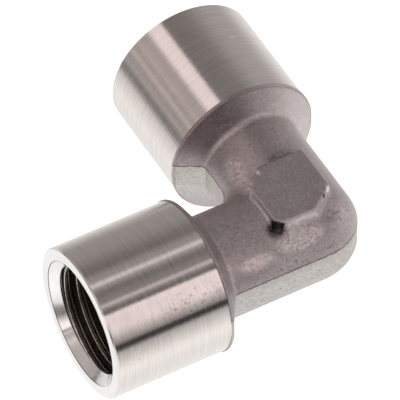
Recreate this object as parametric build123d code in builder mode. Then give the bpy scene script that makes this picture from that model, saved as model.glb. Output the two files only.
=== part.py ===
from build123d import *
import math
import os

os.makedirs("parts", exist_ok=True)

# Whitworth pipe thread of the ports, nominal quarter inch
thread_minor_r = 5.7225
thread_major_r = 6.5785

# Ports and turned collars
reach = 25.3
collar_r = 8.0
collar_length = 12.55
mouth_chamfer = 0.15
countersink_clearance = 0.07
tapped_depth = 11.6

# Forged skin
rim_stand = 0.08
rim_bevel = 0.12
rim_width = 0.3
neck_r = 5.45
shoulder_angle = 30.0
shoulder_fillet = 0.8
crotch_fillet = 2.2

# Height above the parting plane of the flat that trimming the flash leaves
land_half = 1.38

# Passage between the ports
passage_r = 4.0
drill_half_angle = 59.0
passage_past = 0.6

# Wrench pads, one on each face of the bend. The lower one is set further back at the front
pad_stand = 0.55
pad_draft = 12.0
pad_skirt = 3.2
pad_toward_a = 4.65
pad_toward_b = 4.75
pad_behind_a = 2.4
pad_behind_b = 2.7
pad_under_behind_b = 2.2
pad_inner_cut_x = 1.95
pad_inner_cut_y = 2.3
pad_outer_cut_x = 2.7
pad_outer_cut_y = 2.1
pad_front_cut = 0.75
pad_corner = 0.45
pad_top_bevel = 0.1
pad_foot_fillet = 0.3

# Small pit in the forging at the near corner of the upper pad
pit_r = 0.75
pit_floor_r = 0.4
pit_from_a = 4.4
pit_from_b = 2.3
pit_depth = 0.8

# Sizes tied to those above
collar_end = reach - collar_length
forged_r = collar_r + rim_stand
slope = math.tan(math.radians(shoulder_angle))
rim_s = collar_end - rim_width
foot_s = rim_s - (forged_r - neck_r) * slope
foot_cut = shoulder_fillet * math.tan(math.radians((90 - shoulder_angle) / 2))
foot_along = foot_cut * math.sin(math.radians(shoulder_angle))
foot_out = foot_cut * math.cos(math.radians(shoulder_angle))
land_r = math.sqrt(neck_r**2 - land_half**2)
land_rim_r = math.sqrt(forged_r**2 - land_half**2)
trim = neck_r - land_r
pad_height = neck_r + pad_stand
countersink_r = thread_major_r + countersink_clearance
countersink_depth = countersink_r - thread_minor_r
tap_end = reach - tapped_depth
tap_point = (thread_minor_r - passage_r) / math.tan(math.radians(drill_half_angle))
passage_point = passage_r / math.tan(math.radians(drill_half_angle))
pit_z = math.sqrt(neck_r**2 - pit_from_b**2)

# Section of a shoulder, as distances along the arm and out from its axis
foot_end = (foot_s - foot_cut, neck_r)
root_end = (foot_s + foot_along, neck_r + foot_out)
rim_front = (rim_s - rim_bevel * slope, forged_r - rim_bevel)
rim_back = (rim_s + rim_bevel, forged_r)

# Arm frames at the crossing of the axes. Local X runs along the arm to its mouth,
# local Y lies in the plane of the ports and local Z is up
bend = Vector(reach, 0, 0)
arm_a = Plane(origin=bend, x_dir=(-1, 0, 0), z_dir=(0, 0, 1))
arm_b = Plane(origin=bend, x_dir=(0, 1, 0), z_dir=(0, 0, 1))
arms = (arm_a, arm_b)


def die_half(pad_front):
    """Skin above the parting plane: necks with conical shoulders, ball of the bend and the pad."""
    with BuildPart(mode=Mode.PRIVATE) as half:
        with Locations(bend):
            Sphere(neck_r)
        for arm in arms:
            with BuildSketch(arm):
                with BuildLine():
                    Polyline(foot_end, (0, neck_r), (0, 0), (collar_end, 0), (collar_end, forged_r))
                    Polyline((collar_end, forged_r), rim_back, rim_front, root_end)
                    Spline(root_end, foot_end, tangents=((-slope, -1), (-1, 0)))
                make_face()
            revolve(axis=Axis(arm.origin, arm.x_dir))
        split(bisect_by=Plane(origin=bend, z_dir=(0, 0, 1)), keep=Keep.TOP)
        crotch = half.edges().filter_by(GeomType.ELLIPSE).sort_by_distance(
            bend + Vector(-neck_r, neck_r, 0)
        )[0]
        fillet(crotch, radius=crotch_fillet)
        with BuildSketch(Plane(origin=bend + Vector(0, 0, pad_height))) as pad_top:
            with BuildLine():
                Polyline(
                    (pad_behind_a, pad_toward_b),
                    (-pad_toward_a + pad_inner_cut_x, pad_toward_b),
                    (-pad_toward_a, pad_toward_b - pad_inner_cut_y),
                    (-pad_toward_a, -pad_front + pad_front_cut),
                    (-pad_toward_a + pad_front_cut, -pad_front),
                    (pad_behind_a - pad_outer_cut_x, -pad_front),
                    (pad_behind_a, -pad_front + pad_outer_cut_y),
                    close=True,
                )
            make_face()
            fillet(pad_top.vertices(), radius=pad_corner)
        with BuildPart(mode=Mode.PRIVATE) as pad:
            add(pad_top.sketch)
            extrude(amount=-pad_skirt, taper=-pad_draft)
        add(pad.part)
        fillet(half.edges(Select.NEW), radius=pad_foot_fillet)
        pad_face = half.faces().filter_by(Axis.Z).sort_by_distance(bend + Vector(0, 0, pad_height))[0]
        chamfer(pad_face.edges(), length=pad_top_bevel)
    return half.part


with BuildPart() as elbow_body:
    add(die_half(pad_behind_b))
    add(mirror(die_half(pad_under_behind_b), about=Plane.XY))
    # The trimming die shears the flash off along the plan outline and leaves a narrow upright land
    with BuildSketch() as outline:
        with Locations(bend):
            Circle(land_r)
        for arm in arms:
            with BuildLine():
                Polyline(
                    *(
                        arm.from_local_coords(Vector(s, side, 0))
                        for s, side in (
                            (0, -land_r),
                            (foot_s, -land_r),
                            (rim_s, -land_rim_r),
                            (collar_end, -land_rim_r),
                            (collar_end, land_rim_r),
                            (rim_s, land_rim_r),
                            (foot_s, land_r),
                            (0, land_r),
                        )
                    ),
                    close=True,
                )
            make_face()
        inner = outline.vertices().sort_by_distance(bend + Vector(-land_r, land_r, 0))[0]
        fillet(inner, radius=crotch_fillet + trim)
        roots = [
            outline.vertices().sort_by_distance(arm.from_local_coords(Vector(foot_s, side * land_r, 0)))[0]
            for arm in arms
            for side in (-1, 1)
        ]
        fillet(roots, radius=shoulder_fillet)
    extrude(amount=forged_r, both=True, mode=Mode.INTERSECT)
    # Turned collars
    for arm in arms:
        with BuildSketch(Plane(origin=arm.from_local_coords(Vector(collar_end, 0, 0)), z_dir=arm.x_dir)):
            Circle(collar_r)
        extrude(amount=collar_length)
        mouth = elbow_body.faces().filter_by(Axis(arm.origin, arm.x_dir)).sort_by(Axis(arm.origin, arm.x_dir))[-1]
        chamfer(mouth.edges(), length=mouth_chamfer)
    # Passages drilled from both mouths, tapping holes and countersinks
    for arm in arms:
        with BuildSketch(arm):
            with BuildLine():
                Polyline(
                    (reach, 0),
                    (reach, countersink_r),
                    (reach - countersink_depth, thread_minor_r),
                    (tap_end, thread_minor_r),
                    (tap_end - tap_point, passage_r),
                    (-passage_past, passage_r),
                    (-passage_past - passage_point, 0),
                    close=True,
                )
            make_face()
        revolve(axis=Axis(arm.origin, arm.x_dir), mode=Mode.SUBTRACT)
    # Pit in the skin at the near corner of the upper pad
    with Locations(bend + Vector(-pit_from_a, -pit_from_b, pit_z)):
        Cone(pit_floor_r, pit_r, 2 * pit_depth, mode=Mode.SUBTRACT)

elbow_body.part.label = "elbow_body"
export_step(elbow_body.part, "parts/elbow_body.step")
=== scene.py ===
import math

import bpy
import numpy as np
from mathutils import Matrix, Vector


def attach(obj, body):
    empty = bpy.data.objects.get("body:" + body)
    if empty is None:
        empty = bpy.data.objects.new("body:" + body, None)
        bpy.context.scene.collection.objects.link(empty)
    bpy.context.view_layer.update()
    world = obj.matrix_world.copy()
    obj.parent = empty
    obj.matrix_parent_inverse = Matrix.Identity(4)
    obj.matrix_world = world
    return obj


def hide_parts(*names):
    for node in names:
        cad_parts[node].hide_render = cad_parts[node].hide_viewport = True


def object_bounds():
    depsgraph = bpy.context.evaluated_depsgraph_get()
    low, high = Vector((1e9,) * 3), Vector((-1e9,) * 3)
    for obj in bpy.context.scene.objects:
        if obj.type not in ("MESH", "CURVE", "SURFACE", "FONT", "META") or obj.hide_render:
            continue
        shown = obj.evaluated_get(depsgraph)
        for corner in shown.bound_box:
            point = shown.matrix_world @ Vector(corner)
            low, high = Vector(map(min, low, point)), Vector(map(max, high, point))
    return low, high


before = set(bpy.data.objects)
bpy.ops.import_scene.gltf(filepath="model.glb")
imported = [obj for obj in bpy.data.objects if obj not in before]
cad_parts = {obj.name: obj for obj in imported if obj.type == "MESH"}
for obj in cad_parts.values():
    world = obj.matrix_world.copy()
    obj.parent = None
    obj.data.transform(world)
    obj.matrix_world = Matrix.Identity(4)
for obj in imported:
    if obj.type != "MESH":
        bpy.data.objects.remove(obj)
cad_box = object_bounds()

MM = 0.001

# Sizes of the CAD model, in mm
REACH = 25.3
COLLAR_R = 8.0
COLLAR_END = 12.75
MOUTH_CHAMFER = 0.15
COUNTERSINK_R = 6.6485
TAP_END = 13.7
LAND_HALF = 1.38
NECK_R = 5.45
PAD_HEIGHT = 6.0
PIT = (20.9, -2.6, 4.6)

# Quarter-inch parallel pipe thread, in mm
MINOR_R = 5.7225
MAJOR_R = 6.5785
PITCH = 1.337
FLANK = math.radians(27.5)

TURN_COLUMNS = 192
CAD_NODE = "elbow_body"

# Arms: mouth direction and two cross directions, right-handed about the mouth direction
BEND = np.array([REACH, 0.0, 0.0])
ARMS = {
    "a": (np.array([-1.0, 0, 0]), np.array([0, 0, 1.0]), np.array([0, 1.0, 0])),
    "b": (np.array([0, 1.0, 0]), np.array([0, 0, 1.0]), np.array([1.0, 0, 0])),
}

SKIN, TURNED, FACED, THREAD, BORE = range(5)


# ---------------------------------------------------------------- mesh parts
class Patches:
    """Triangles gathered from several surfaces, each corner with its own normal."""

    def __init__(self):
        self.corners = []
        self.normals = []
        self.material = []
        self.ring = []

    def add(self, corners, normals, material, ring=None):
        corners = np.asarray(corners, float).reshape(-1, 3, 3)
        normals = np.asarray(normals, float).reshape(-1, 3, 3)
        side = np.cross(corners[:, 1] - corners[:, 0], corners[:, 2] - corners[:, 0])
        keep = np.linalg.norm(side, axis=1) > 1e-9
        corners, normals, side = corners[keep], normals[keep], side[keep]
        ring = np.zeros_like(corners) if ring is None else np.asarray(ring, float).reshape(-1, 3, 3)[keep]
        if np.einsum("ij,ij->", side, normals.sum(1)) < 0:
            corners, normals, ring = corners[:, ::-1], normals[:, ::-1], ring[:, ::-1]
        self.corners.append(corners)
        self.normals.append(normals)
        self.ring.append(ring)
        self.material.append(np.full(len(corners), material))


def place(arm, s, r, theta):
    """Points at distance s from the crossing, radius r and angle theta round an arm."""
    axis, u, w = ARMS[arm]
    return (
        BEND
        + np.multiply.outer(s, axis)
        + np.multiply.outer(r * np.cos(theta), u)
        + np.multiply.outer(r * np.sin(theta), w)
    )


def direction(arm, along, out, theta):
    """Unit vectors with a part along the arm and a part out from its axis."""
    axis, u, w = ARMS[arm]
    v = (
        np.multiply.outer(along, axis)
        + np.multiply.outer(out * np.cos(theta), u)
        + np.multiply.outer(out * np.sin(theta), w)
    )
    return v / np.linalg.norm(v, axis=-1, keepdims=True)


def grid_triangles(points, normals, ring):
    """Triangles of a grid of rows by columns whose last column repeats the first."""
    def cut(v):
        a, b, c, d = v[:-1, :-1], v[1:, :-1], v[1:, 1:], v[:-1, 1:]
        return np.concatenate([np.stack([a, b, c], 2).reshape(-1, 3, 3), np.stack([a, c, d], 2).reshape(-1, 3, 3)])
    return cut(points), cut(normals), cut(ring)


def angles(columns):
    theta = np.linspace(0, 2 * math.pi, columns + 1)
    return theta


def ring_marks(run, theta):
    """Coordinates for the lathe marks: the run along the turned profile, and the place round it."""
    shape = np.broadcast(run, theta).shape
    return np.stack(
        [np.broadcast_to(run, shape), np.broadcast_to(np.cos(theta), shape), np.broadcast_to(np.sin(theta), shape)], -1
    )


def closed(theta):
    theta = np.array(theta)
    return np.append(theta, theta[0] + 2 * math.pi)


def revolve(patches, arm, profile, material, columns=TURN_COLUMNS, run=0.0):
    """A straight-sided turned surface through (s, r) points; its side is on the left of the profile's run."""
    theta = angles(columns)
    for (s0, r0), (s1, r1) in zip(profile, profile[1:]):
        length = math.hypot(s1 - s0, r1 - r0)
        along, out = -(r1 - r0) / length, (s1 - s0) / length
        s = np.array([[s0], [s1]]) * np.ones_like(theta)
        r = np.array([[r0], [r1]]) * np.ones_like(theta)
        t = np.ones((2, 1)) * theta
        points = place(arm, s, r, t)
        normals = direction(arm, along * np.ones_like(t), out * np.ones_like(t), t)
        marks = ring_marks(run + np.array([[0.0], [length]]) + 0 * t, t)
        patches.add(*grid_triangles(points, normals, marks)[:2], material, grid_triangles(points, normals, marks)[2])
        run += length
    return run


def join_rings(patches, arm, near, far, normal, material, run):
    """Triangles between two rings of different counts round an arm; each is (s, r, angles)."""
    s0, r0, t0 = near
    s1, r1, t1 = far
    t0, t1 = closed(t0), closed(t1)
    i = j = 0
    corners, marks = [], []
    while i < len(t0) - 1 or j < len(t1) - 1:
        step_far = i == len(t0) - 1 or (j < len(t1) - 1 and t1[j + 1] < t0[i + 1])
        if step_far:
            three = [(s0, r0, t0[i]), (s1, r1, t1[j]), (s1, r1, t1[j + 1])]
            j += 1
        else:
            three = [(s0, r0, t0[i]), (s1, r1, t1[j]), (s0, r0, t0[i + 1])]
            i += 1
        corners.append(three)
    corners = np.array(corners)
    s, r, t = corners[..., 0], corners[..., 1], corners[..., 2]
    marks = ring_marks(run + 0 * t, t)
    patches.add(
        place(arm, s, r, t),
        direction(arm, normal[0] * np.ones_like(t), normal[1] * np.ones_like(t), t),
        material,
        marks,
    )


def soft_min(a, b, k):
    h = np.clip(0.5 + 0.5 * (b - a) / k, 0, 1)
    return b * (1 - h) + a * h - k * h * (1 - h)


def thread_radius(depth, theta, phase):
    """Wall radius of the tapped port at a depth from the mouth face."""
    turn = (-depth / PITCH - theta / (2 * math.pi) + phase) % 1.0
    middle = (MINOR_R + MAJOR_R) / 2
    half = (MAJOR_R - MINOR_R) / 2
    ridge = PITCH / (4 * math.tan(FLANK)) * (1 - 2 * np.abs(2 * turn - 1))
    ridge = soft_min(ridge, half, 0.16)
    ridge = -soft_min(-ridge, half, 0.05)
    # The first turn is worn away, so that the countersink is whole
    cut = np.clip((depth - 0.8) / 0.45, 0, 1)
    return np.maximum(MINOR_R + (middle + ridge - MINOR_R) * cut * cut * (3 - 2 * cut), COUNTERSINK_R - depth)


def thread(patches, arm, phase, fine, coarse, columns):
    """The countersink and the thread down to the end of the tapping hole, as one turned wall."""
    depth = np.concatenate([np.arange(0.05, 4.2, fine), np.arange(4.2, REACH - TAP_END - 0.02, coarse)])
    theta = angles(columns)
    d, t = np.meshgrid(depth, theta, indexing="ij")
    r = thread_radius(d, t, phase)
    r[-1] = MINOR_R
    eps = 0.004
    down = (thread_radius(d + eps, t, phase) - thread_radius(d - eps, t, phase)) / (2 * eps)
    around = (thread_radius(d, t + eps, phase) - thread_radius(d, t - eps, phase)) / (2 * eps)
    axis, u, w = ARMS[arm]
    out = direction(arm, 0 * d, np.ones_like(d), t)
    side = direction(arm, 0 * d, np.ones_like(d), t + math.pi / 2)
    normals = -out - axis * down[..., None] + side * (around / r)[..., None]
    normals /= np.linalg.norm(normals, axis=-1, keepdims=True)
    points = place(arm, REACH - d, r, t)
    marks = ring_marks(40 + d, t)
    tri = grid_triangles(points, normals, marks)
    centre = (REACH - np.abs((tri[0].mean(1) - BEND) @ axis))
    radius = np.linalg.norm(tri[0].mean(1) - BEND - np.outer((tri[0].mean(1) - BEND) @ axis, axis), axis=1)
    on_cone = radius < COUNTERSINK_R - centre + 0.012
    patches.add(tri[0][on_cone], tri[1][on_cone], FACED, tri[2][on_cone])
    patches.add(tri[0][~on_cone], tri[1][~on_cone], THREAD, tri[2][~on_cone])
    return depth[-1]


def edge_angles(arm, points, s, r):
    """Angles of the CAD vertices that lie on one circle of an arm."""
    axis, u, w = ARMS[arm]
    q = points - BEND
    along = q @ axis
    x, y = q @ u, q @ w
    on = (np.abs(along - s) < 1e-3) & (np.abs(np.hypot(x, y) - r) < 2e-3)
    theta = np.arctan2(y[on], x[on]) % (2 * math.pi)
    return np.unique(np.round(theta, 6))


# ---------------------------------------------------------------- the elbow
def elbow(name):
    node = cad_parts[CAD_NODE]
    mesh = node.data
    count = len(mesh.vertices)
    co = np.zeros(count * 3)
    mesh.vertices.foreach_get("co", co)
    co = co.reshape(-1, 3) / MM
    mesh.calc_loop_triangles()
    tri = np.zeros(len(mesh.loop_triangles) * 3, np.int64)
    mesh.loop_triangles.foreach_get("vertices", tri)
    loops = np.zeros(len(mesh.loop_triangles) * 3, np.int64)
    mesh.loop_triangles.foreach_get("loops", loops)
    corner_normals = np.zeros(len(mesh.loops) * 3)
    mesh.corner_normals.foreach_get("vector", corner_normals)
    corner_normals = corner_normals.reshape(-1, 3)
    tri = tri.reshape(-1, 3)
    corners = co[tri]
    normals = corner_normals[loops].reshape(-1, 3, 3)

    rebuilt = np.zeros(len(tri), bool)
    for axis, u, w in ARMS.values():
        along = (corners - BEND) @ axis
        far = np.linalg.norm(corners - BEND - along[..., None] * axis, axis=2).max(1)
        point = (along.max(1) < TAP_END + 1e-3) & (far < MINOR_R + 1e-2)
        rebuilt |= (along.min(1) > COLLAR_END - 1e-3) & (along.max(1) > COLLAR_END + 1e-3) & ~point

    patches = Patches()
    centre = corners.mean(1)
    inside = np.zeros(len(tri), bool)
    for axis, u, w in ARMS.values():
        q = centre - BEND
        along = q @ axis
        radius = np.linalg.norm(q - np.outer(along, axis), axis=1)
        faces_in = np.einsum("ij,ij->i", normals.mean(1), q - np.outer(along, axis)) < 0
        inside |= (radius < MINOR_R + 0.01) & (along > -3) & (radius < 4.02)
        inside |= (radius < MINOR_R + 0.01) & (along > COLLAR_END - 0.6) & faces_in
    patches.add(corners[~rebuilt & ~inside], normals[~rebuilt & ~inside], SKIN)
    patches.add(corners[~rebuilt & inside], normals[~rebuilt & inside], BORE)

    gone = corners[rebuilt].reshape(-1, 3)
    round_full = angles(TURN_COLUMNS)[:-1]
    for arm, phase, fine, coarse, columns in (("a", 0.35, 0.03, 0.1, TURN_COLUMNS), ("b", 0.6, 0.06, 0.14, 96)):
        # Collar from its forged end to the mouth, with the bevel at the outer edge
        start = COLLAR_END + 0.05
        back = edge_angles(arm, gone, COLLAR_END, COLLAR_R)
        join_rings(patches, arm, (COLLAR_END, COLLAR_R, back), (start, COLLAR_R, round_full), (0, 1), TURNED, 0.0)
        lip = COUNTERSINK_R + 0.05
        outer = [(s, COLLAR_R) for s in np.linspace(start, REACH - MOUTH_CHAMFER, 6)]
        run = revolve(patches, arm, outer, TURNED)
        run = revolve(patches, arm, [outer[-1], (REACH, COLLAR_R - MOUTH_CHAMFER)], TURNED, run=run)
        revolve(patches, arm, [(REACH, COLLAR_R - MOUTH_CHAMFER), (REACH, lip)], FACED, run=60)
        # Rounded lip between the face and the countersink
        theta = round_full
        top = (REACH, lip, round_full)
        cone = (REACH - 0.05, COUNTERSINK_R - 0.05, angles(columns)[:-1])
        join_rings(patches, arm, top, cone, (0.75, -0.66), FACED, 58)
        last = thread(patches, arm, phase, fine, coarse, columns)
        end = edge_angles(arm, gone, TAP_END, MINOR_R)
        join_rings(
            patches, arm, (REACH - last, MINOR_R, angles(columns)[:-1]), (TAP_END, MINOR_R, end), (0, -1), THREAD, 40
        )

    corners = np.concatenate(patches.corners)
    normals = np.concatenate(patches.normals)
    marks = np.concatenate(patches.ring)
    material = np.concatenate(patches.material)
    keys = np.round(corners.reshape(-1, 3) * 5000).astype(np.int64)
    _, first, index = np.unique(keys, axis=0, return_index=True, return_inverse=True)
    points = corners.reshape(-1, 3)[first] * MM
    faces = index.reshape(-1, 3)
    good = (faces[:, 0] != faces[:, 1]) & (faces[:, 1] != faces[:, 2]) & (faces[:, 0] != faces[:, 2])
    faces, normals, marks, material = faces[good], normals[good], marks[good], material[good]

    made = bpy.data.meshes.new(name)
    made.from_pydata(points.tolist(), [], faces.tolist())
    made.polygons.foreach_set("use_smooth", np.ones(len(faces), bool))
    made.polygons.foreach_set("material_index", material.astype(np.int32))
    ring = made.attributes.new("lathe", "FLOAT_VECTOR", "CORNER")
    ring.data.foreach_set("vector", marks.reshape(-1).astype(np.float32))
    uv = made.uv_layers.new(name="profile")
    flat = marks.reshape(-1, 3)
    turn = np.arctan2(flat[:, 2], flat[:, 1]) / (2 * math.pi)
    uv.data.foreach_set("uv", np.stack([flat[:, 0], turn], 1).reshape(-1).astype(np.float32))
    made.normals_split_custom_set(normals.reshape(-1, 3).tolist())
    made.update()
    piece = bpy.data.objects.new(name, made)
    bpy.context.scene.collection.objects.link(piece)
    return piece


# ---------------------------------------------------------------- materials
class Shader:
    def __init__(self, name):
        self.material = bpy.data.materials.new(name)
        self.material.use_nodes = True
        self.tree = self.material.node_tree
        self.tree.nodes.clear()
        self.out = self.tree.nodes.new("ShaderNodeOutputMaterial")
        self.bsdf = self.tree.nodes.new("ShaderNodeBsdfPrincipled")
        self.link(self.bsdf.outputs[0], self.out.inputs[0])
        self.bsdf.inputs["Metallic"].default_value = 1.0

    def node(self, kind, **settings):
        n = self.tree.nodes.new(kind)
        for k, v in settings.items():
            setattr(n, k, v)
        return n

    def link(self, a, b):
        self.tree.links.new(a, b)

    def value(self, socket, thing):
        if isinstance(thing, (int, float)):
            socket.default_value = thing
        elif isinstance(thing, tuple):
            socket.default_value = thing
        else:
            self.link(thing, socket)

    def math(self, operation, a, b=None, clamp=False):
        n = self.node("ShaderNodeMath", operation=operation, use_clamp=clamp)
        self.value(n.inputs[0], a)
        if b is not None:
            self.value(n.inputs[1], b)
        return n.outputs[0]

    def smooth(self, v, low, high, to_low=0.0, to_high=1.0):
        if low > high:
            low, high, to_low, to_high = high, low, to_high, to_low
        n = self.node("ShaderNodeMapRange", interpolation_type="SMOOTHSTEP")
        self.value(n.inputs["Value"], v)
        n.inputs["From Min"].default_value = low
        n.inputs["From Max"].default_value = high
        n.inputs["To Min"].default_value = to_low
        n.inputs["To Max"].default_value = to_high
        return n.outputs[0]

    def mix(self, factor, a, b):
        n = self.node("ShaderNodeMix", data_type="RGBA")
        self.value(n.inputs[0], factor)
        self.value(n.inputs[6], a)
        self.value(n.inputs[7], b)
        return n.outputs[2]

    def object_mm(self):
        """Object coordinates in millimetres."""
        c = self.node("ShaderNodeTexCoord")
        n = self.node("ShaderNodeVectorMath", operation="SCALE")
        self.link(c.outputs["Object"], n.inputs[0])
        n.inputs["Scale"].default_value = 1000.0
        return n.outputs[0]

    def stretched(self, vector, scale):
        n = self.node("ShaderNodeVectorMath", operation="MULTIPLY")
        self.link(vector, n.inputs[0])
        n.inputs[1].default_value = scale
        return n.outputs[0]

    def noise(self, vector, scale, detail=2.0, rough=0.5):
        n = self.node("ShaderNodeTexNoise")
        self.link(vector, n.inputs["Vector"])
        n.inputs["Scale"].default_value = scale
        n.inputs["Detail"].default_value = detail
        n.inputs["Roughness"].default_value = rough
        return n.outputs["Fac"]

    def parts(self, vector):
        n = self.node("ShaderNodeSeparateXYZ")
        self.link(vector, n.inputs[0])
        return n.outputs

    def square(self, v):
        return self.math("MULTIPLY", v, v)

    def dot(self, vector, along, offset):
        n = self.node("ShaderNodeVectorMath", operation="DOT_PRODUCT")
        self.link(vector, n.inputs[0])
        n.inputs[1].default_value = along
        return self.math("ADD", n.outputs["Value"], offset)

    def near(self, at, centre, size, inner):
        """1 within the inner share of an ellipsoid in mm, falling to 0 at its skin."""
        moved = self.node("ShaderNodeVectorMath", operation="SUBTRACT")
        self.link(at, moved.inputs[0])
        moved.inputs[1].default_value = centre
        scaled = self.node("ShaderNodeVectorMath", operation="DIVIDE")
        self.link(moved.outputs[0], scaled.inputs[0])
        scaled.inputs[1].default_value = size
        length = self.node("ShaderNodeVectorMath", operation="LENGTH")
        self.link(scaled.outputs[0], length.inputs[0])
        return self.smooth(length.outputs["Value"], inner, 1.0, 1.0, 0.0)

    def lathe(self):
        n = self.node("ShaderNodeAttribute", attribute_name="lathe")
        return n.outputs["Vector"]

    def bump(self, height, strength, distance, under=None):
        n = self.node("ShaderNodeBump")
        n.inputs["Strength"].default_value = strength
        n.inputs["Distance"].default_value = distance
        self.link(height, n.inputs["Height"])
        if under is not None:
            self.link(under, n.inputs["Normal"])
        return n.outputs[0]


def turned(name, base, rough, anisotropic=0.92, ribs=0.0, edge=-9.0):
    """Lathe-turned nickel: ring marks, ragged fine scratches and a few dark specks."""
    sh = Shader(name)
    ring = sh.lathe()
    at = sh.object_mm()
    run = sh.parts(ring)[0]
    fine = sh.noise(sh.stretched(ring, (8.0, 1.3, 1.3)), 1.0, 3.0, 0.75)
    ragged = sh.noise(sh.stretched(ring, (6.0, 7.0, 7.0)), 1.0, 3.0, 0.7)
    streak = sh.noise(sh.stretched(ring, (2.6, 2.2, 2.2)), 1.0, 4.0, 0.7)
    speck = sh.smooth(sh.noise(at, 3.6, 2.0, 0.65), 0.70, 0.76)
    wear = sh.smooth(sh.noise(at, 0.35, 2.0, 0.5), 0.5, 0.62)
    tone = sh.mix(sh.smooth(fine, 0.36, 0.62), tuple(0.91 * c for c in base) + (1,), (*base, 1))
    # Painted shade: a thin dark line along the rounded lip at the profile run given by edge, fading out as y falls
    # from -2.5 to -5.5 mm
    lip = sh.math("MULTIPLY", sh.smooth(sh.math("ABSOLUTE", sh.math("SUBTRACT", run, edge)), 0.07, 0.02), 0.85)
    lip = sh.math("MULTIPLY", lip, sh.smooth(sh.parts(at)[1], -5.5, -2.5))
    tone = sh.mix(lip, tone, (0.12, 0.10, 0.09, 1))
    # Painted highlight: a bright spot on a small dent in the far collar
    nick_glint = sh.near(at, (28.36, 20.12, 7.39), (0.55, 0.14, 0.4), 0.5)
    tone = sh.mix(nick_glint, tone, (0.98, 0.96, 0.95, 1))
    pocks = sh.near(at, (9.0, -6.4, 4.6), (5.5, 1.9, 2.2), 0.2)
    pocks = sh.math("MULTIPLY", pocks, sh.smooth(sh.noise(at, 2.6, 3.0, 0.7), 0.565, 0.64))
    tone = sh.mix(sh.math("MULTIPLY", pocks, 0.6), tone, (0.26, 0.21, 0.19, 1))
    tone = sh.mix(sh.math("MULTIPLY", sh.math("MULTIPLY", speck, wear), 0.7), tone, (0.26, 0.21, 0.18, 1))
    sh.link(tone, sh.bsdf.inputs["Base Color"])
    sh.link(sh.smooth(streak, 0.3, 0.7, rough * 0.85, rough * 1.2), sh.bsdf.inputs["Roughness"])
    sh.bsdf.inputs["Anisotropic"].default_value = anisotropic
    tangent = sh.node("ShaderNodeTangent", direction_type="UV_MAP", uv_map="profile")
    sh.link(tangent.outputs[0], sh.bsdf.inputs["Tangent"])
    height = fine
    if ribs:
        on_b = sh.smooth(sh.parts(at)[1], 12.6, 12.7)
        wave = sh.math("SINE", sh.math("ADD", sh.math("MULTIPLY", run, 15.0), sh.math("MULTIPLY", streak, 5.0)))
        height = sh.math("ADD", fine, sh.math("MULTIPLY", sh.math("MULTIPLY", wave, on_b), ribs))
    normal = sh.bump(height, 0.3, 0.00001)
    sh.link(sh.bump(ragged, 0.4, 0.000013, normal), sh.bsdf.inputs["Normal"])
    return sh.material


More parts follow.
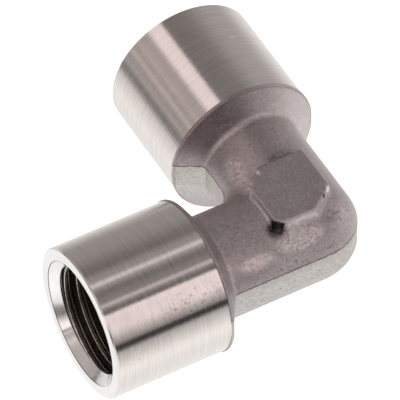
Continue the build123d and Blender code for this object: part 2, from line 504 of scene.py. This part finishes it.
def forged(name):
    """Tumbled forging under nickel: pinkish grey, fine grained, with a paler trimmed land and local marks, and with
    painted shade and painted highlights in places.
    """
    sh = Shader(name)
    at = sh.object_mm()
    x, y, z = sh.parts(at)
    grain = sh.noise(at, 4.5, 4.0, 0.75)
    coarse = sh.noise(at, 1.9, 4.0, 0.7)
    blotch = sh.noise(at, 0.6, 3.0, 0.6)
    worn = sh.noise(sh.stretched(at, (1.0, 1.4, 1.4)), 2.4, 5.0, 0.8)
    tone = sh.mix(sh.smooth(blotch, 0.35, 0.65), (0.60, 0.54, 0.54, 1), (0.66, 0.60, 0.598, 1))
    tone = sh.mix(sh.smooth(grain, 0.40, 0.55, 0.70, 0.0), tone, (0.40, 0.355, 0.355, 1))
    tone = sh.mix(sh.smooth(grain, 0.55, 0.68, 0.0, 0.45), tone, (0.84, 0.78, 0.77, 1))
    tone = sh.mix(sh.smooth(coarse, 0.40, 0.62, 0.30, 0.0), tone, (0.40, 0.36, 0.355, 1))
    dark = (0.13, 0.11, 0.105, 1)
    pale = (0.93, 0.85, 0.84, 1)

    # Painted shade: the upper left of the far shoulder and of its neck, and the pad's face, darkened in colour
    lean = sh.dot(at, (-0.5, 0.0, 0.866), 12.65)
    away = sh.math("SQRT", sh.math("ADD", sh.square(sh.math("SUBTRACT", x, REACH)), sh.square(z)))
    turn = sh.math("DIVIDE", lean, away)
    quarter = sh.smooth(turn, 0.74, 0.96)
    on_shoulder = sh.math("MULTIPLY", quarter, sh.smooth(y, 10.7, 11.3))
    tone = sh.mix(sh.math("MULTIPLY", on_shoulder, 0.42), tone, dark)
    on_neck = sh.math("MULTIPLY", quarter, sh.math("MULTIPLY", sh.smooth(y, 3.5, 5.5), sh.smooth(y, 10.7, 10.2)))
    tone = sh.mix(sh.math("MULTIPLY", on_neck, 0.26), tone, dark)
    tone = sh.mix(sh.smooth(z, 5.78, 5.96, 0.0, 0.10), tone, dark)
    # Painted highlight: paler towards the right-hand side, beyond x = 26.8 mm
    tone = sh.mix(sh.smooth(x, 26.8, 30.4, 0.0, 0.40), tone, pale)
    # Painted shade at the foot of the pad's near right corner
    pad_foot_shade = sh.math("MULTIPLY", sh.near(at, (26.9, -3.2, 4.5), (2.0, 1.1, 1.1), 0.2), sh.smooth(coarse, 0.3, 0.6, 0.3, 0.75))
    tone = sh.mix(pad_foot_shade, tone, dark)
    # Painted shade: the top of the near neck darker, short of x = 21 mm
    tone = sh.mix(sh.math("MULTIPLY", sh.smooth(x, 21.0, 19.0), sh.smooth(z, 3.2, 4.8, 0.0, 0.14)), tone, dark)

    # Marks left by the tool and by handling: rubbed patches with bright and dark flecks. Their bright flecks by the
    # pad and along the near neck are also painted highlight, and the long dark patch just above the land is painted
    # shade
    bright = sh.smooth(worn, 0.47, 0.57)
    black = sh.smooth(worn, 0.45, 0.38)
    for place_at, size, inner, light, shade in (
        ((22.6, -3.8, 3.9), (3.2, 1.4, 1.4), 0.55, 1.0, 0.65),
        ((17.6, -4.2, 3.5), (2.4, 1.0, 1.0), 0.40, 1.0, 0.35),
        ((21.0, -5.05, 2.05), (8.0, 0.8, 0.5), 0.35, 0.10, 0.85),
        ((27.6, -3.2, 4.2), (2.4, 1.8, 1.8), 0.35, 0.25, 0.80),
        ((21.3, 6.9, 3.9), (1.5, 2.6, 1.6), 0.40, 0.60, 0.55),
        ((21.5, 4.0, 4.4), (1.5, 1.0, 1.1), 0.35, 0.75, 0.95),
        ((23.3, -2.9, 5.2), (3.0, 0.5, 0.6), 0.55, 0.60, 0.35),
        ((21.5, 2.0, 5.2), (0.7, 3.2, 1.0), 0.35, 0.15, 0.35),
    ):
        patch = sh.near(at, place_at, size, inner)
        tone = sh.mix(sh.math("MULTIPLY", patch, 0.45 * light), tone, pale)
        tone = sh.mix(sh.math("MULTIPLY", sh.math("MULTIPLY", patch, bright), light), tone, pale)
        tone = sh.mix(sh.math("MULTIPLY", sh.math("MULTIPLY", patch, black), shade), tone, dark)

    # Land sheared by the trimming die: paler, with pits, and a painted shadow line along its upper edge, under the
    # burr
    inner_side = sh.smooth(x, 31.2, 29.0)
    flat = sh.math("MULTIPLY", sh.smooth(z, 1.43, 1.33), sh.smooth(z, -6.0, -1.5))
    crotch = sh.near(at, (19.0, 6.3, 0.0), (3.2, 3.2, 4.0), 0.7)
    flat = sh.math("MULTIPLY", flat, sh.math("MULTIPLY", inner_side, sh.math("SUBTRACT", 1.0, sh.math("MULTIPLY", crotch, 0.8))))
    pits = sh.smooth(sh.noise(at, 2.8, 4.0, 0.75), 0.58, 0.66)
    shorn = sh.mix(sh.smooth(worn, 0.38, 0.60), (0.58, 0.55, 0.51, 1), (0.74, 0.73, 0.695, 1))
    shorn = sh.mix(sh.math("MULTIPLY", pits, 0.75), shorn, (0.24, 0.21, 0.19, 1))
    duller = sh.math("MULTIPLY", sh.smooth(z, 0.1, 1.5), sh.smooth(y, -2.0, -4.0))
    tone = sh.mix(sh.math("MULTIPLY", flat, sh.math("SUBTRACT", 0.75, sh.math("MULTIPLY", duller, 0.62))), tone, shorn)
    # Painted shadow: a dark line along the land's upper edge, under the burr
    edge = sh.math("ADD", sh.math("SUBTRACT", z, 1.40), sh.smooth(coarse, 0.3, 0.7, -0.07, 0.07))
    edge = sh.math("MULTIPLY", sh.smooth(sh.math("ABSOLUTE", edge), 0.12, 0.04), 0.8)
    edge = sh.math("MULTIPLY", sh.math("MULTIPLY", edge, inner_side), sh.smooth(coarse, 0.32, 0.50, 0.30, 1.0))
    tone = sh.mix(edge, tone, (0.10, 0.08, 0.075, 1))

    # Dark lines along both edges of each forged rim, broken up by noise, stronger on arm a
    for along, sign in ((x, -1.0), (y, 1.0)):
        s = sh.math("SUBTRACT", along, REACH) if sign < 0 else along
        s = sh.math("MULTIPLY", s, sign)
        out = sh.smooth(s, 12.2, 12.3)
        lines = sh.math(
            "MAXIMUM",
            sh.smooth(sh.math("ABSOLUTE", sh.math("SUBTRACT", s, 12.42)), 0.10, 0.04),
            sh.smooth(s, 12.68, 12.75),
        )
        most = 0.6 if sign < 0 else 0.4
        lines = sh.math("MULTIPLY", sh.math("MULTIPLY", lines, out), sh.smooth(coarse, 0.36, 0.56, 0.15, most))
        tone = sh.mix(lines, tone, (0.12, 0.10, 0.09, 1))

    # Painted shade in the pit and behind the pad, painted highlight and shade lines along the pad's top edges, painted
    # highlights at two of its corners and a dark spot at its right corner
    # Painted shade: a near-black blot filling the pit at the pad's corner
    pad_shade = sh.math("MULTIPLY", sh.smooth(coarse, 0.25, 0.55, 0.5, 1.0), sh.near(at, (20.65, -2.45, 5.0), (1.35, 1.3, 1.3), 0.35))
    tone = sh.mix(pad_shade, tone, (0.025, 0.02, 0.018, 1))
    rear = sh.math("MULTIPLY", sh.smooth(z, 5.45, 5.6), sh.math("MULTIPLY", sh.smooth(x, 27.9, 27.4), sh.smooth(x, 22.0, 22.4)))
    # Painted highlight: a thin pale line along the pad's top edge at x = 27.62 mm
    rim = sh.math("ABSOLUTE", sh.math("SUBTRACT", x, 27.62))
    rim = sh.math("MULTIPLY", sh.smooth(rim, 0.12, 0.05), sh.math("MULTIPLY", sh.smooth(z, 5.7, 5.8), sh.math("MULTIPLY", sh.smooth(y, -0.8, -0.2), sh.smooth(y, 5.0, 4.6))))
    tone = sh.mix(sh.math("MULTIPLY", rim, 0.5), tone, pale)
    # Painted shade and painted highlight: a dark line and a pale line along the pad's far top edge
    for away, tint, most in ((4.74, (0.10, 0.085, 0.08, 1), 0.75), (4.98, (0.90, 0.85, 0.84, 1), 0.5)):
        line = sh.smooth(sh.math("ABSOLUTE", sh.math("SUBTRACT", y, away)), 0.13, 0.05)
        tone = sh.mix(sh.math("MULTIPLY", sh.math("MULTIPLY", line, rear), most), tone, tint)
    # Painted shade on the neck just behind the pad
    pad_shade = sh.math("MULTIPLY", sh.smooth(coarse, 0.35, 0.60), sh.near(at, (25.6, 5.5, 5.5), (2.6, 0.9, 0.9), 0.2))
    tone = sh.mix(sh.math("MULTIPLY", pad_shade, 0.7), tone, dark)
    # Painted highlights at two of the pad's corners
    glint = sh.math("MAXIMUM", sh.near(at, (22.3, 4.05, 5.75), (0.30, 0.50, 0.45), 0.6), sh.near(at, (27.3, -0.7, 5.7), (0.3, 0.75, 0.4), 0.6))
    tone = sh.mix(glint, tone, (0.97, 0.95, 0.94, 1))
    tone = sh.mix(sh.near(at, (26.55, -1.55, 5.75), (0.26, 0.26, 0.4), 0.5), tone, (0.06, 0.05, 0.045, 1))

    sh.link(tone, sh.bsdf.inputs["Base Color"])
    sh.link(sh.smooth(grain, 0.3, 0.7, 0.40, 0.54), sh.bsdf.inputs["Roughness"])
    rough = sh.near(at, (22.5, -4.0, 3.8), (6.0, 2.0, 2.2), 0.4)
    normal = sh.bump(grain, 0.4, 0.00006)
    normal = sh.bump(sh.math("MULTIPLY", worn, sh.math("ADD", rough, 0.12)), 0.8, 0.00022, normal)
    sh.link(normal, sh.bsdf.inputs["Normal"])
    return sh.material


def tapped(name):
    """Cut thread: dark flanks, a painted shade for the dim inside of the port, and paler crests, a painted highlight
    along each turn.
    """
    sh = Shader(name)
    at = sh.object_mm()
    x, y, z = sh.parts(at)
    first = sh.math("SQRT", sh.math("ADD", sh.square(y), sh.square(z)))
    second = sh.math("SQRT", sh.math("ADD", sh.square(sh.math("SUBTRACT", x, REACH)), sh.square(z)))
    radius = sh.math("MINIMUM", first, second)
    # Painted highlight on the crests, painted shade in the darker flank colour
    crest_highlight = sh.math("MULTIPLY", sh.smooth(radius, 5.86, 5.76), sh.smooth(sh.noise(at, 1.5, 3.0, 0.6), 0.35, 0.6, 0.45, 1.0))
    sh.link(sh.mix(crest_highlight, (0.34, 0.31, 0.27, 1), (0.74, 0.71, 0.68, 1)), sh.bsdf.inputs["Base Color"])
    sh.bsdf.inputs["Roughness"].default_value = 0.24
    return sh.material


def plain(name, base, rough):
    sh = Shader(name)
    at = sh.object_mm()
    tone = sh.smooth(sh.noise(sh.stretched(at, (1.0, 1.0, 1.0)), 1.2, 3.0, 0.6), 0.35, 0.65)
    sh.link(sh.mix(tone, tuple(0.8 * c for c in base) + (1,), (*base, 1)), sh.bsdf.inputs["Base Color"])
    sh.bsdf.inputs["Roughness"].default_value = rough
    return sh.material


# ---------------------------------------------------------------- build
piece = elbow("elbow_body_dressed")
for material in (
    forged("forged_skin"),
    turned("turned_collar", (0.84, 0.79, 0.76), 0.18, ribs=0.6),
    turned("faced_mouth", (0.93, 0.92, 0.91), 0.16, edge=58.0),
    tapped("thread_wall"),
    plain("drilled_passage", (0.45, 0.41, 0.38), 0.4),
):
    piece.data.materials.append(material)
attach(piece, "root")
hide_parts(CAD_NODE)


# ---------------------------------------------------------------- stage
def world_light():
    """A studio round the part: pale floor below, grey room above, a front and a left softbox and thin strips."""
    world = bpy.data.worlds.new("studio")
    bpy.context.scene.world = world
    world.use_nodes = True
    tree = world.node_tree
    tree.nodes.clear()

    def node(kind, **settings):
        n = tree.nodes.new(kind)
        for k, v in settings.items():
            setattr(n, k, v)
        return n

    def put(socket, v):
        if isinstance(v, (int, float, tuple)):
            socket.default_value = v
        else:
            tree.links.new(v, socket)

    def calc(operation, a, b=None, clamp=False):
        n = node("ShaderNodeMath", operation=operation, use_clamp=clamp)
        put(n.inputs[0], a)
        if b is not None:
            put(n.inputs[1], b)
        return n.outputs[0]

    def smooth(v, low, high, to_low=0.0, to_high=1.0):
        n = node("ShaderNodeMapRange", interpolation_type="SMOOTHSTEP")
        put(n.inputs["Value"], v)
        for key, x in (("From Min", low), ("From Max", high), ("To Min", to_low), ("To Max", to_high)):
            n.inputs[key].default_value = x
        return n.outputs[0]

    def colour(rgb, level):
        n = node("ShaderNodeVectorMath", operation="SCALE")
        n.inputs[0].default_value = rgb
        put(n.inputs["Scale"], level)
        return n.outputs[0]

    def add(a, b):
        n = node("ShaderNodeVectorMath", operation="ADD")
        put(n.inputs[0], a)
        put(n.inputs[1], b)
        return n.outputs[0]

    def blend(factor, a, b):
        n = node("ShaderNodeMix", data_type="RGBA")
        put(n.inputs[0], factor)
        put(n.inputs[6], a)
        put(n.inputs[7], b)
        return n.outputs[2]

    where = node("ShaderNodeTexCoord").outputs["Generated"]
    split = node("ShaderNodeSeparateXYZ")
    tree.links.new(where, split.inputs[0])
    x, y, z = split.outputs
    up = calc("MULTIPLY", calc("ARCSINE", z), 180 / math.pi)

    def turn_about(across):
        """Angle above the horizon from the far or right side over the top, 0 to 360 degrees."""
        a = calc("MULTIPLY", calc("ARCTAN2", z, across), 180 / math.pi)
        return calc("MODULO", calc("ADD", a, 450.0), 360.0)

    # 90 degrees is added so that the seam of the angle lies straight down
    front = turn_about(y)
    left = turn_about(x)

    def band(v, low, low_soft, high, high_soft):
        v0, v1 = low + 90, high + 90
        rise = smooth(v, v0 - low_soft, v0 + low_soft)
        fall = smooth(v, v1 - high_soft, v1 + high_soft, 1.0, 0.0)
        return calc("MULTIPLY", rise, fall)

    ramp = node("ShaderNodeValToRGB")
    stops = [
        (-90, 1.0, (1.0, 0.995, 0.99)),
        (-40, 0.97, (1.0, 0.99, 0.985)),
        (-22, 0.73, (1.0, 0.98, 0.97)),
        (-6, 0.47, (1.0, 0.96, 0.95)),
        (6, 0.33, (1.0, 0.94, 0.93)),
        (26, 0.33, (1.0, 0.93, 0.92)),
        (40, 0.28, (1.0, 0.92, 0.91)),
        (50, 0.20, (1.0, 0.91, 0.89)),
        (58, 0.155, (1.0, 0.90, 0.87)),
        (66, 0.175, (1.0, 0.91, 0.88)),
        (90, 0.18, (1.0, 0.92, 0.91)),
    ]
    ramp.color_ramp.interpolation = "B_SPLINE"
    for _ in stops[2:]:
        ramp.color_ramp.elements.new(0.5)
    for element, (angle, level, tint) in zip(ramp.color_ramp.elements, stops):
        element.position = (angle + 90) / 180
        element.color = (*(level * t for t in tint), 1)
    tree.links.new(calc("ADD", calc("DIVIDE", up, 180.0), 0.5), ramp.inputs[0])
    light = ramp.outputs[0]
    pink, brown, warm = (1.0, 0.87, 0.875), (1.0, 0.76, 0.68), (1.0, 0.97, 0.95)
    side_light = calc("MULTIPLY", smooth(x, 0.34, 0.75), smooth(up, -44, -20))
    light = add(light, colour(warm, calc("MULTIPLY", side_light, 0.085)))
    # Strips and softboxes to the front and the left, by angle about each collar's axis
    for way, low, low_soft, high, high_soft, tint, level in (
        (front, 69, 6, 94, 4, warm, 0.14),
        (front, 82, 3, 88, 2, warm, 0.42),
        (front, 105, 4, 123.5, 1.5, warm, 0.06),
        (front, 114.5, 1.5, 119.5, 1.5, pink, 0.37),
        (front, 130.5, 1, 165, 14, pink, 0.80),
        (front, 192, 6, 234, 12, warm, 0.14),
        (left, 101, 1.8, 124, 5, pink, 0.70),
        (left, 124, 4, 150, 6, brown, 0.15),
        (left, 141, 2, 146, 2, brown, 0.07),
        (left, 155, 2, 162, 1.5, brown, 0.27),
        (left, 171, 2, 177, 3, brown, 0.14),
        (left, 192, 5, 240, 20, warm, 0.12),
    ):
        light = add(light, colour(tint, calc("MULTIPLY", band(way, low, low_soft, high, high_soft), level)))
    dark = calc("MAXIMUM", band(front, 176, 2.5, 186.5, 2.5), calc("MULTIPLY", band(left, 179, 3, 193, 4), 0.6))
    # Dark room beyond the front left corner of the table
    corner = calc("MULTIPLY", smooth(x, 0.05, 0.28, 1.0, 0.0), smooth(x, -0.64, -0.46))
    corner = calc("MULTIPLY", corner, smooth(y, -0.6, -0.3, 1.0, 0.0))
    corner = calc("MULTIPLY", corner, calc("MULTIPLY", smooth(up, -34, -14), smooth(up, 36, 56, 1.0, 0.0)))
    dark = calc("MAXIMUM", dark, calc("MAXIMUM", corner, calc("MULTIPLY", band(front, 124, 1.5, 129, 1.2), 0.4)))
    light = blend(calc("MULTIPLY", dark, 0.96), light, (0.014, 0.011, 0.01, 1))

    path = node("ShaderNodeLightPath")
    lit = node("ShaderNodeBackground")
    tree.links.new(light, lit.inputs[0])
    seen = node("ShaderNodeBackground")
    seen.inputs[0].default_value = (1, 1, 1, 1)
    seen.inputs[1].default_value = 1.0
    mixed = node("ShaderNodeMixShader")
    tree.links.new(path.outputs["Is Camera Ray"], mixed.inputs[0])
    tree.links.new(lit.outputs[0], mixed.inputs[1])
    tree.links.new(seen.outputs[0], mixed.inputs[2])
    out = node("ShaderNodeOutputWorld")
    tree.links.new(mixed.outputs[0], out.inputs[0])


def floor():
    half = 0.6
    z = cad_box[0].z - 0.00002
    mesh = bpy.data.meshes.new("floor")
    mesh.from_pydata([(-half, -half, z), (half, -half, z), (half, half, z), (-half, half, z)], [], [(0, 1, 2, 3)])
    obj = bpy.data.objects.new("floor", mesh)
    bpy.context.scene.collection.objects.link(obj)
    material = bpy.data.materials.new("pale_floor")
    material.use_nodes = True
    tree = material.node_tree
    tree.nodes.clear()
    diffuse = tree.nodes.new("ShaderNodeBsdfDiffuse")
    diffuse.inputs[0].default_value = (0.85, 0.85, 0.85, 1)
    glow = tree.nodes.new("ShaderNodeEmission")
    glow.inputs[0].default_value = (1, 1, 1, 1)
    path = tree.nodes.new("ShaderNodeLightPath")
    strength = tree.nodes.new("ShaderNodeMath")
    strength.operation = "MULTIPLY"
    tree.links.new(path.outputs["Is Camera Ray"], strength.inputs[0])
    strength.inputs[1].default_value = 0.86
    tree.links.new(strength.outputs[0], glow.inputs[1])
    both = tree.nodes.new("ShaderNodeAddShader")
    tree.links.new(diffuse.outputs[0], both.inputs[0])
    tree.links.new(glow.outputs[0], both.inputs[1])
    # Seen from below, the floor is clear, so that the underside can be looked at
    under = tree.nodes.new("ShaderNodeNewGeometry")
    clear = tree.nodes.new("ShaderNodeBsdfTransparent")
    sides = tree.nodes.new("ShaderNodeMixShader")
    tree.links.new(under.outputs["Backfacing"], sides.inputs[0])
    tree.links.new(both.outputs[0], sides.inputs[1])
    tree.links.new(clear.outputs[0], sides.inputs[2])
    out = tree.nodes.new("ShaderNodeOutputMaterial")
    tree.links.new(sides.outputs[0], out.inputs[0])
    mesh.materials.append(material)
    obj.visible_glossy = False


def camera():
    data = bpy.data.cameras.new("camera")
    data.sensor_width = 36.0
    data.lens = 512.9
    data.clip_start, data.clip_end = 0.01, 10.0
    obj = bpy.data.objects.new("camera", data)
    bpy.context.scene.collection.objects.link(obj)
    right = (0.87344873, -0.48691201, -0.00200077)
    up = (0.36797481, 0.65739072, 0.65759561)
    back = (-0.31887592, -0.57511228, 0.75336844)
    place_at = (-0.16317, -0.31858, 0.42824)
    obj.matrix_world = Matrix([(right[i], up[i], back[i], place_at[i]) for i in range(3)] + [(0, 0, 0, 1)])
    bpy.context.scene.camera = obj


world_light()
floor()
camera()
bpy.context.scene.view_settings.view_transform = "Standard"
